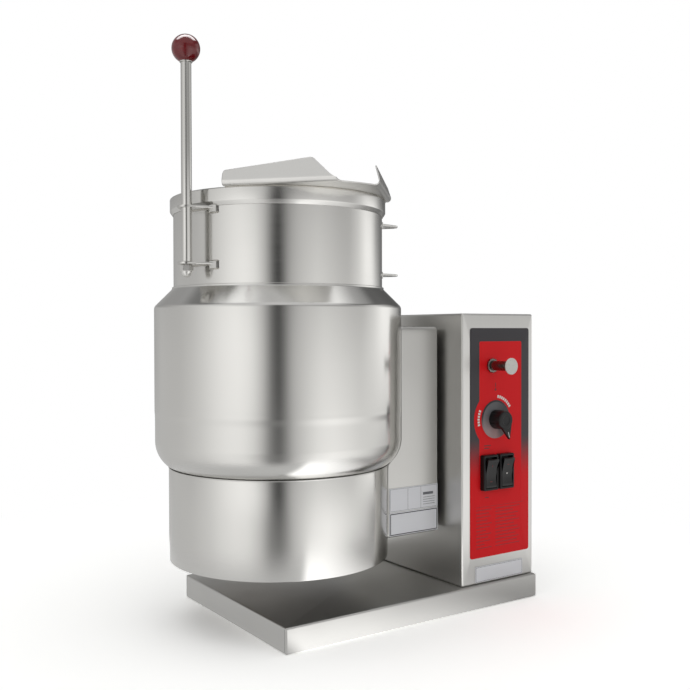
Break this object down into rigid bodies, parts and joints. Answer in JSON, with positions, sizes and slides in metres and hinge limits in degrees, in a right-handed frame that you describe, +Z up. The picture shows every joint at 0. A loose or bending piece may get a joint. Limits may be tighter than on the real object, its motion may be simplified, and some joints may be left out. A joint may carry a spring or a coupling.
{
  "type": "steam jacketed kettle",
  "caption": "Countertop steam jacketed kettle with a round-bottomed open bowl, butterfly pouring lip, ball-ended tilting lever, control console and flat base pan.",
  "frame": {"origin": "on the counter, below the middle of the whole machine's bounding box", "axes": "+Z up, -Y towards the pouring lip and the control panel, +X from the kettle towards the console"},
  "size_m": [0.5706, 0.4274, 0.8185],
  "materials": {
    "satin_stainless": "satin, fine polishing lines",
    "bright_stainless": "polished",
    "plated_steel": "zinc plated, dull",
    "brass": "machined",
    "bearing_bronze": "machined, oiled",
    "black_plastic": "moulded, fine texture",
    "red_overlay": "screen-printed film",
    "maroon_phenolic": "polished phenolic",
    "white_plastic": "moulded",
    "label_foil": "printed foil, blank"
  },
  "bodies": {
    "console_and_base": {"base_pan": "satin_stainless", "base_backing_plate": "plated_steel", "console_body": "satin_stainless", "console_rear_cover": "satin_stainless", "rear_cover_screw_1": "bright_stainless", "rear_cover_screw_2": "bright_stainless", "rear_cover_screw_3": "bright_stainless", "rear_cover_screw_4": "bright_stainless", "cable_gland": "black_plastic", "gland_locknut": "black_plastic", "control_panel": "red_overlay", "name_plate": "label_foil", "thermostat_dial": "label_foil", "thermostat_body": "black_plastic", "left_switch_body": "black_plastic", "right_switch_body": "black_plastic", "button_bush": "plated_steel", "reset_switch": "black_plastic", "contactor": "black_plastic", "terminal_block": "black_plastic", "bearing_frame": "plated_steel", "inner_bearing_bush": "bearing_bronze", "outer_bearing_bush": "bearing_bronze", "frame_bolt_1": "plated_steel", "frame_bolt_2": "plated_steel", "frame_bolt_3": "plated_steel", "frame_bolt_4": "plated_steel", "rest_stop_pin": "plated_steel", "full_tilt_stop_pin": "plated_steel"},
    "kettle": {"kettle_liner": "satin_stainless", "steam_jacket": "satin_stainless", "rim_band": "satin_stainless", "pour_lip": "satin_stainless", "lower_skirt": "satin_stainless", "skirt_bottom_cover": "satin_stainless", "element_flange": "plated_steel", "left_heating_element": "plated_steel", "right_heating_element": "plated_steel", "thermostat_bulb": "plated_steel", "low_water_probe": "plated_steel", "trunnion_hub": "satin_stainless", "trunnion_shaft": "plated_steel", "stop_collar": "plated_steel", "trunnion_housing": "satin_stainless", "upper_label_plate": "label_foil", "lower_label_plate": "label_foil", "handle_rod": "bright_stainless", "ball_knob": "maroon_phenolic", "handle_cap_nut": "bright_stainless", "left_upper_bracket": "bright_stainless", "left_lower_bracket": "bright_stainless", "right_upper_bracket": "bright_stainless", "right_lower_bracket": "bright_stainless", "safety_valve": "brass", "pressure_gauge": "plated_steel"},
    "thermostat_knob": {"thermostat_knob": "black_plastic"},
    "left_rocker": {"left_rocker": "black_plastic"},
    "right_rocker": {"right_rocker": "black_plastic"},
    "reset_button": {"reset_button": "white_plastic"},
    "safety_valve_lever": {"safety_valve_lever": "plated_steel"}
  },
  "joints": [
    {"name": "kettle_tilt", "type": "hinge", "parent": "console_and_base", "child": "kettle", "pos_m": [0.18303, -0.00728, 0.345], "axis": [1, 0, 0], "range_deg": [0, 90]},
    {"name": "thermostat_turn", "type": "hinge", "parent": "console_and_base", "child": "thermostat_knob", "pos_m": [0.20078, -0.1693, 0.2868], "axis": [0, -1, 0], "range_deg": [0, 270]},
    {"name": "left_rocker_throw", "type": "hinge", "parent": "console_and_base", "child": "left_rocker", "pos_m": [0.18403, -0.15863, 0.2063], "axis": [-1, 0, 0], "range_deg": [0, 14]},
    {"name": "right_rocker_throw", "type": "hinge", "parent": "console_and_base", "child": "right_rocker", "pos_m": [0.21753, -0.15863, 0.2063], "axis": [-1, 0, 0], "range_deg": [0, 14]},
    {"name": "reset_button_press", "type": "slide", "parent": "console_and_base", "child": "reset_button", "axis": [0, 1, 0], "range_m": [0, 0.005], "stiffness_N_per_m": 200, "springref_m": -0.001},
    {"name": "valve_lever_lift", "type": "hinge", "parent": "kettle", "child": "safety_valve_lever", "pos_m": [-0.10342, 0.20072, 0.4353], "axis": [0, -1, 0], "range_deg": [0, 25], "stiffness_Nm_per_rad": 0.02, "springref_deg": -11.46}
  ]
}
